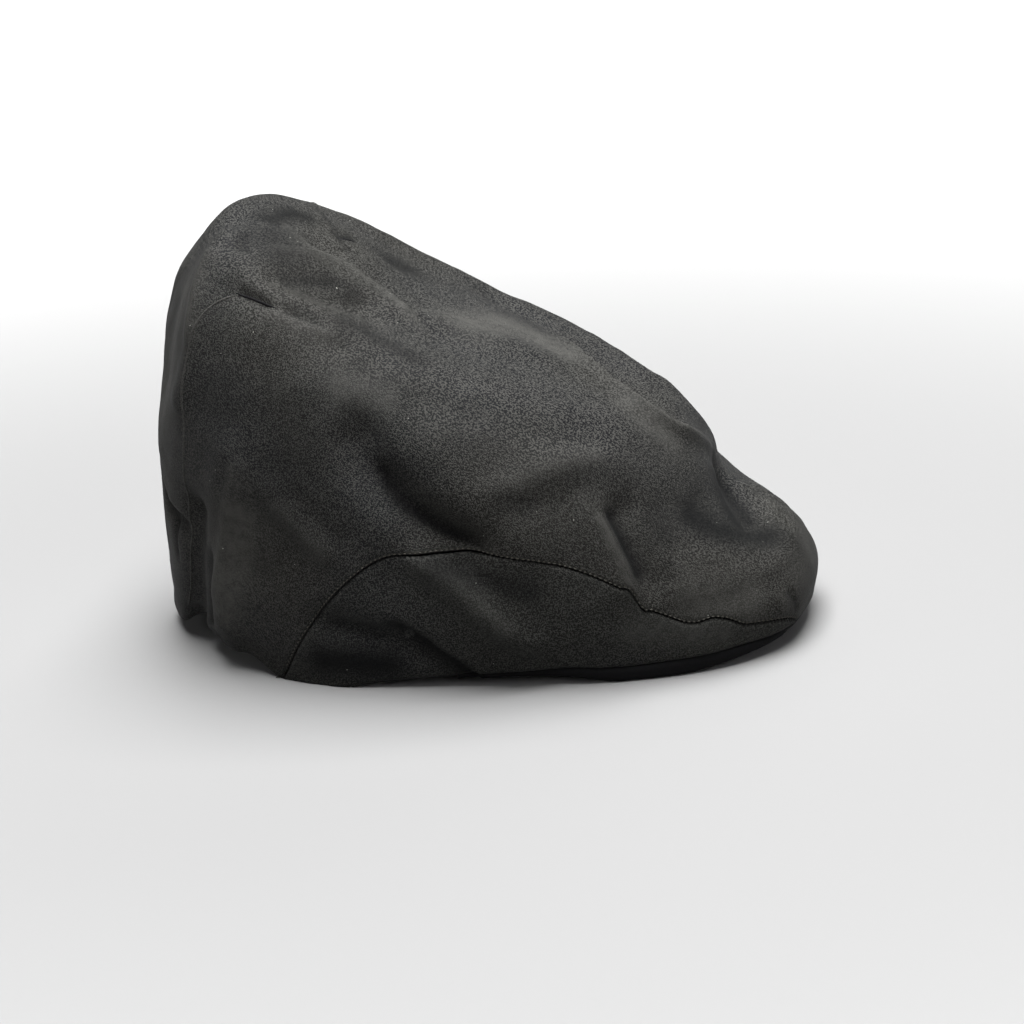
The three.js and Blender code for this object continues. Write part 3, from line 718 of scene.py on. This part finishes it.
def make_peak(material):
    """Peak: a thin arched crescent inside the cloth's front edge, whose covered edge hangs
    as a rounded band just below the cloth."""
    share = np.linspace(-1, 1, 241)
    turn = share * peak_half_turn
    edge = outer_skin(turn, 0 * turn)
    inward = -normal_of(bent_skin, turn, 0 * turn)
    inward[:, 2] = 0
    inward = unit(inward)
    front_share = (edge[:, 0] - opening_middle[0]) / front_reach
    lip = curve(lip_line, "front", "height", front_share) * lip_height
    corner = plain_skin(peak_half_turn, 0) - opening_middle
    swing = share * math.pi / 2
    inner_middle = front_reach - peak_reach
    back = np.stack([
        opening_middle[0] + corner[0] + (inner_middle - corner[0]) * np.cos(swing),
        opening_middle[1] + (corner[1] - peak_corner_width) * np.sin(swing),
        edge[:, 2]], axis=1)
    low = np.maximum(edge[:, 2] - lip, 0)
    inset = cloth_wall + seam_gap
    slope = lambda t: (low + peak_rise * np.cos(swing) * t
                       + peak_bulge * np.cos(swing) * math.sin(math.pi * t))
    at = lambda depth, z: np.stack([edge[:, 0] + inward[:, 0] * depth,
                                    edge[:, 1] + inward[:, 1] * depth, z], axis=1)
    front, heel = at(inset, low), at(inset + peak_thickness, low)
    under = lambda t: np.stack([*(front + (back - front) * t).T[:2], slope(t)], axis=1)
    over = lambda t: np.stack([*(heel + (back - heel) * t).T[:2],
                               slope(t) + peak_thickness], axis=1)
    shown = edge[:, 2] - low
    proud = np.clip(shown / 0.004, 0, 1)
    out = lambda depth: inset - (inset - depth) * proud
    section = [at(inset + 0.0022, low)]
    for angle in np.linspace(80, 0, 6):
        turned = math.radians(angle)
        section.append(at(out(0.0004) + lip_roll * (1 - math.cos(turned)),
                          low + np.minimum(lip_roll, shown / 2) * (1 - math.sin(turned))))
    section += [at(out(0.0002), low + 0.62 * shown), at(out(0.0005), edge[:, 2] - 0.0003),
                at(out(0.0011), edge[:, 2] + 0.0001), at(inset + 0 * shown, edge[:, 2] + 0.0004),
                at(inset + 0 * shown, edge[:, 2] + 0.0028),
                at(inset + peak_thickness + 0 * shown, edge[:, 2] + 0.0028)]
    section += [over(t) for t in np.linspace(0, 1, 9)]
    section += [under(t) for t in np.linspace(1, 0.06, 9)]
    grid = np.stack(section, axis=1)
    return new_piece("peak_cloth", grid.reshape(-1, 3), tube_faces(*grid.shape[:2]), material,
                     "peak", "peak_cloth", weave=threads(grid).reshape(-1, 2))


# Finishes
def feed(socket, value):
    """Join a socket to another one, or set it to a value."""
    if isinstance(value, bpy.types.NodeSocket):
        socket.id_data.links.new(value, socket)
    else:
        socket.default_value = value


def node(tree, kind, **settings):
    """A shader node with its properties set; a name ending in _ feeds that input."""
    made = tree.nodes.new("ShaderNode" + kind)
    for name, value in settings.items():
        if name.endswith("_"):
            feed(made.inputs[name[:-1].replace("_", " ")], value)
        else:
            setattr(made, name, value)
    return made


def maths(operation, *values, clamp=False):
    """A node of maths in the tree that its sockets come from."""
    tree = next(value.id_data for value in values if isinstance(value, bpy.types.NodeSocket))
    made = node(tree, "Math", operation=operation, use_clamp=clamp)
    for socket, value in zip(made.inputs, values):
        feed(socket, value)
    return made.outputs[0]


def times(first, second, clamp=False):
    return maths("MULTIPLY", first, second, clamp=clamp)


def plus(first, second):
    return maths("ADD", first, second)


def ramp(value, low, high):
    """A value from low to high, spread smoothly from 0 to 1."""
    return node(value.id_data, "MapRange", interpolation_type="SMOOTHSTEP", Value_=value,
                From_Min_=low, From_Max_=high).outputs["Result"]


def blended(factor, first, second):
    """One colour over another by a factor."""
    made = node(factor.id_data, "Mix", data_type="RGBA", Factor_=factor)
    for socket, colour in ((made.inputs[6], first), (made.inputs[7], second)):
        feed(socket, (*colour, 1) if isinstance(colour, tuple) else colour)
    return made.outputs[2]


def new_group(name, outputs, **inputs):
    """An empty shader node group; an input without a value is a vector."""
    group = bpy.data.node_groups.new(name, "ShaderNodeTree")
    for title, value in inputs.items():
        kind = "NodeSocketVector" if value is None else "NodeSocketFloat"
        socket = group.interface.new_socket(title.replace("_", " "), in_out="INPUT",
                                            socket_type=kind)
        if value is not None:
            socket.default_value = value
    for title in outputs:
        group.interface.new_socket(title, in_out="OUTPUT", socket_type="NodeSocketFloat")
    given = group.nodes.new("NodeGroupInput").outputs
    return group, given, group.nodes.new("NodeGroupOutput").inputs


def weave_group():
    """Plain weave: the higher of two noises, each drawn out along its own threads, mixed
    with a fine grain, and with a coarse grain where the cloth faces up. Height is the
    threads' relief and Slub how thick and pale they are."""
    tree, given, result = new_group("plain weave", ("Height", "Slub"), Lengths=None, Place=None,
                                    Facing=None, Threads_per_Metre=3000)
    crossed = []
    for stretch in ((1, 0.3, 0), (0.3, 1, 0)):
        drawn = node(tree, "VectorMath", operation="MULTIPLY", Vector_=given["Lengths"])
        drawn.inputs[1].default_value = stretch
        crossed.append(node(tree, "TexNoise", Vector_=drawn.outputs[0], Detail_=0,
                            Scale_=given["Threads per Metre"]).outputs["Fac"])
    grain, coarse = (
        node(tree, "TexNoise", Vector_=given["Place"], Scale_=scale, Detail_=detail,
             Roughness_=roughness).outputs["Fac"]
        for scale, detail, roughness in ((2100, 1, 0.9), (1500, 0, 0.5)))
    fine = plus(times(maths("MAXIMUM", *crossed), 0.45), times(grain, 0.55))
    upward = node(tree, "SeparateXYZ", Vector_=given["Facing"]).outputs[2]
    on_top = times(ramp(upward, 0.45, 0.9), 0.6)
    both = plus(times(fine, maths("SUBTRACT", 1, on_top)), times(coarse, times(on_top, 1.08)))
    feed(result["Height"], both)
    feed(result["Slub"], ramp(both, 0.515, 0.585))
    return tree


def lint_group():
    """Lint: the middles of scattered cells, some of them drawn out, as a mask of specks."""
    tree, given, result = new_group("lint", ("Specks",), Place=None, Cells_per_Metre=320,
                                    Size=0.09)
    bent = node(tree, "TexNoise", Scale_=300, Vector_=given["Place"])
    moved = node(tree, "VectorMath", operation="MULTIPLY_ADD", Vector_=bent.outputs["Color"])
    moved.inputs[1].default_value = (0.003, 0.003, 0.003)
    feed(moved.inputs[2], given["Place"])
    cells = node(tree, "TexVoronoi", feature="F1", Vector_=moved.outputs[0],
                 Scale_=given["Cells per Metre"]).outputs
    chosen = node(tree, "SeparateColor", Color_=cells["Color"]).outputs[0]
    size = times(maths("POWER", chosen, 5), given["Size"])
    near = maths("SUBTRACT", size, cells["Distance"])
    feed(result["Specks"], times(near, 60, clamp=True))
    return tree


def wax_group():
    """Paler where folds and ridges are rubbed (partly wear, partly painted highlight), broken
    up by noise; the dark mask, painted shade in creases, hollows and low places, passed on as
    it is; Tint drifts slowly over the cloth."""
    tree, given, result = new_group("wax", ("Pale", "Deep", "Tint"), Place=None, Rubbed=0.0,
                                    Dark=0.0)
    broken = node(tree, "TexNoise", Scale_=260, Detail_=4, Roughness_=0.7,
                  Vector_=given["Place"]).outputs["Fac"]
    share = plus(times(ramp(broken, 0.25, 0.75), 0.8), 0.45)
    feed(result["Pale"], times(given["Rubbed"], share, clamp=True))
    # The dark mask is painted shade, passed through unchanged
    feed(result["Deep"], given["Dark"])
    drift = node(tree, "TexNoise", Scale_=14, Detail_=1, Roughness_=0.5,
                 Vector_=given["Place"]).outputs["Fac"]
    feed(result["Tint"], ramp(drift, 0.3, 0.7))
    return tree


def pucker_group():
    """Stitch puckers: a ripple at the stitch pitch along a seam, fading away from it; a pale
    raised edge beside the seam in beads, painted highlight; and dashes of painted shade along
    the seam's groove."""
    tree, given, result = new_group("stitch puckers", ("Height", "Edge", "Shade"), Seam=None,
                                    Stitches_per_Metre=526)
    along, across, _ = node(tree, "SeparateXYZ", Vector_=given["Seam"]).outputs
    away = maths("ABSOLUTE", across)
    beat = maths("COSINE", times(along, times(given["Stitches per Metre"], 2 * math.pi)))
    feed(result["Height"], times(beat, ramp(away, 0.0028, 0.0006)))
    raised = times(ramp(across, 0.0018, 0.0005), ramp(across, 0.0001, 0.0004))
    beads = maths("SUBTRACT", 0.6, times(beat, 0.4))
    feed(result["Edge"], times(raised, beads))
    dashes = plus(times(beat, 0.3), 0.7)
    feed(result["Shade"], times(ramp(away, 0.0011, 0.0003), dashes))
    return tree


groups = {"weave": weave_group(), "lint": lint_group(), "wax": wax_group(),
          "puckers": pucker_group()}


def placed(tree, name, **inputs):
    """A shared group in a material, with its inputs fed."""
    return node(tree, "Group", node_tree=groups[name], **inputs).outputs


def new_material(name, **sockets):
    """A material with its Principled shader, whose even values are set on its sockets."""
    material = bpy.data.materials.new(name)
    material.use_nodes = True
    tree = material.node_tree
    shader = tree.nodes["Principled BSDF"]
    for title, value in sockets.items():
        shader.inputs[title.replace("_", " ")].default_value = value
    return material, tree, shader


def cloth_inputs(tree):
    """The place in the object and the lengths along its threads."""
    return {"Place_": node(tree, "TexCoord").outputs["Object"],
            "Lengths_": node(tree, "UVMap", uv_map="weave").outputs[0]}


def cover(tree, shader, colour, roughness, height, strength):
    """Feed a shader its colour, its roughness and the relief of a height."""
    feed(shader.inputs["Base Color"], colour)
    feed(shader.inputs["Roughness"], roughness)
    feed(shader.inputs["Normal"],
         node(tree, "Bump", Strength_=strength, Distance_=1, Height_=height).outputs[0])


def waxed_cotton(name, charcoal, olive, pale):
    """Waxed cotton: charcoal drifting to olive, paler on its folds and ridges (partly rubbed wear,
    partly painted highlight), with painted shade in its creases, hollows and seams, flecked with
    lint, over the relief of its weave."""
    material, tree, shader = new_material(
        name, Sheen_Weight=0.01, Sheen_Roughness=0.5, Specular_IOR_Level=0.045)
    cloth = cloth_inputs(tree)
    rubbed, dark = (node(tree, "Attribute", attribute_name=layer).outputs["Fac"]
                    for layer in ("rubbed", "dark"))
    weave = placed(tree, "weave", Facing_=node(tree, "NewGeometry").outputs["Normal"], **cloth)
    puckers = placed(tree, "puckers", Seam_=node(tree, "UVMap", uv_map="seam").outputs[0])
    wax = placed(tree, "wax", Place_=cloth["Place_"], Dark_=dark,
                 Rubbed_=plus(rubbed, times(puckers["Edge"], 0.9)))
    lint = placed(tree, "lint", Place_=cloth["Place_"])
    colour = blended(wax["Tint"], charcoal, olive)
    for mask, share, tint in (
            (weave["Slub"], 0.75, pale),
            # paler, partly rubbed wear and partly painted highlight
            (wax["Pale"], 0.8, pale),
            # near-black of painted shade in creases, hollows and low places
            (wax["Deep"], 0.85, (0.0025, 0.0027, 0.0029)),
            # near-black of painted shade along the seam's groove
            (puckers["Shade"], 0.85, (0.004, 0.004, 0.004)),
            (lint["Specks"], 0.6, (0.35, 0.35, 0.32))):
        colour = blended(times(mask, share), colour, tint)
    dull = plus(plus(times(weave["Slub"], 0.2), 0.56), times(wax["Deep"], 0.15))
    height = plus(times(weave["Height"], 0.0003), times(puckers["Height"], 0.00008))
    cover(tree, shader, colour, dull, height, 1)
    return material


def plain_cloth(name, colour, pale, roughness):
    """Plain tight cloth: one dark colour with a faint uneven weave."""
    material, tree, shader = new_material(name, Specular_IOR_Level=0.06)
    weave = placed(tree, "weave", Threads_per_Metre_=2000, **cloth_inputs(tree))
    cover(tree, shader, blended(times(weave["Slub"], 0.3), colour, pale),
          plus(times(weave["Slub"], 0.2), roughness), times(weave["Height"], 0.00006), 0.6)
    return material


crown_cotton = waxed_cotton("waxed cotton of the crown", (0.0056, 0.0059, 0.0067),
                            (0.0072, 0.0070, 0.0061), (0.0465, 0.0458, 0.0425))
band_cotton = waxed_cotton("waxed cotton of the bands", (0.0052, 0.0056, 0.0062),
                           (0.0066, 0.0068, 0.0060), (0.043, 0.043, 0.040))
peak_cotton = plain_cloth("black cloth of the peak", (0.0030, 0.0030, 0.0034),
                          (0.005, 0.005, 0.0053), 0.6)
thread = plain_cloth("seam thread", (0.046, 0.044, 0.038), (0.085, 0.082, 0.070), 0.6)

make_crown(crown_cotton)
make_side_band("side_band_right", -1, band_cotton)
make_side_band("side_band_left", 1, band_cotton)
make_peak(peak_cotton)
for name, side, dart, slit, slit_width in (("right", -1, right_dart, right_slit, 0.0014),
                                           ("left", 1, left_dart, left_slit, 0.0030)):
    angles = np.linspace(14.5, 111.5, 900)
    rise = np.maximum(seam_rise(angles, stitch_from_seam), 0)
    make_stitches("seam_stitches_" + name, (side * angles, rise), thread)
    make_welt("dart_welt_" + name, line_through(dart, side), crown_cotton,
              welt_width, welt_proud, welt_sunk, welt_pucker)
    # The slit is a rolled band of near-black peak cloth: painted shade standing for the dark of
    # its opening
    make_welt("dart_slit_shade_" + name, line_through(slit, side), peak_cotton,
              slit_width, slit_proud, slit_sunk, 0)

# Floor, camera and lights
bpy.ops.mesh.primitive_plane_add(size=12, location=(0, 0, -0.0002))
floor = bpy.context.object
floor.name = "floor"
paper, tree, shader = new_material(
    "pale paper", Roughness=0.9, Specular_IOR_Level=0.1, Base_Color=(0.2, 0.2, 0.2, 1),
    Emission_Color=(1, 1, 1, 1))
away = node(tree, "VectorMath", operation="LENGTH",
            Vector_=node(tree, "TexCoord").outputs["Object"]).outputs["Value"]
feed(shader.inputs["Emission Strength"],
     times(ramp(away, 0.2, 1.3), node(tree, "LightPath").outputs["Is Camera Ray"]))
floor.data.materials.append(paper)

azimuth, elevation, roll = (math.radians(angle) for angle in (12, 18, 3.4))
sensor = 36
distance, pixels_per_metre, frame_width = 1.1, 2600, 1024
opening_pixel = (443, 612)
back = Vector((math.sin(azimuth) * math.cos(elevation), -math.cos(azimuth) * math.cos(elevation),
               math.sin(elevation)))
level = Vector((math.cos(azimuth), math.sin(azimuth), 0))
upright = back.cross(level)
right = level * math.cos(roll) - upright * math.sin(roll)
upward = level * math.sin(roll) + upright * math.cos(roll)
place = (Vector(opening_middle) - right * (opening_pixel[0] - frame_width / 2) / pixels_per_metre
         + upward * (opening_pixel[1] - frame_width / 2) / pixels_per_metre + back * distance)
camera = bpy.data.objects.new("camera", bpy.data.cameras.new("camera"))
camera.data.sensor_width = sensor
camera.data.lens = sensor * pixels_per_metre * distance / frame_width
camera.matrix_world = Matrix((right, upward, back)).transposed().to_4x4()
camera.matrix_world.translation = place
scene.collection.objects.link(camera)
scene.camera = camera


def soft_light(name, place, size, power, aim=(0, 0, 0.06), glossy=True):
    """A wide soft light at a place, turned to the cap or to another aim."""
    light = bpy.data.objects.new(name, bpy.data.lights.new(name, "AREA"))
    light.data.shape = "RECTANGLE"
    light.data.size, light.data.size_y = size
    light.data.energy = power
    light.visible_glossy = glossy
    way = Vector(aim) - Vector(place)
    light.matrix_world = way.to_track_quat("-Z", "Y").to_matrix().to_4x4()
    light.matrix_world.translation = place
    scene.collection.objects.link(light)


soft_light("light above", (0.05, 0, 1.6), (1.8, 1), 113)
soft_light("light in front", (1.2, -1.3, 0.8), (0.9, 0.9), 10)
soft_light("light on the left", (-1.4, -0.8, 0.6), (0.9, 0.9), 5)
soft_light("light on the floor behind", (0, 2.4, 1.5), (2.4, 1.2), 55, aim=(0, 2.2, 0),
           glossy=False)
world = bpy.data.worlds.new("studio")
world.use_nodes = True
tree = world.node_tree
backdrop = tree.nodes["Background"].inputs
backdrop["Color"].default_value = (1, 1, 1, 1)
seen = node(tree, "LightPath").outputs["Is Camera Ray"]
feed(backdrop["Strength"], plus(times(seen, 0.9), 0.1))
scene.world = world
scene.view_settings.view_transform = "Standard"
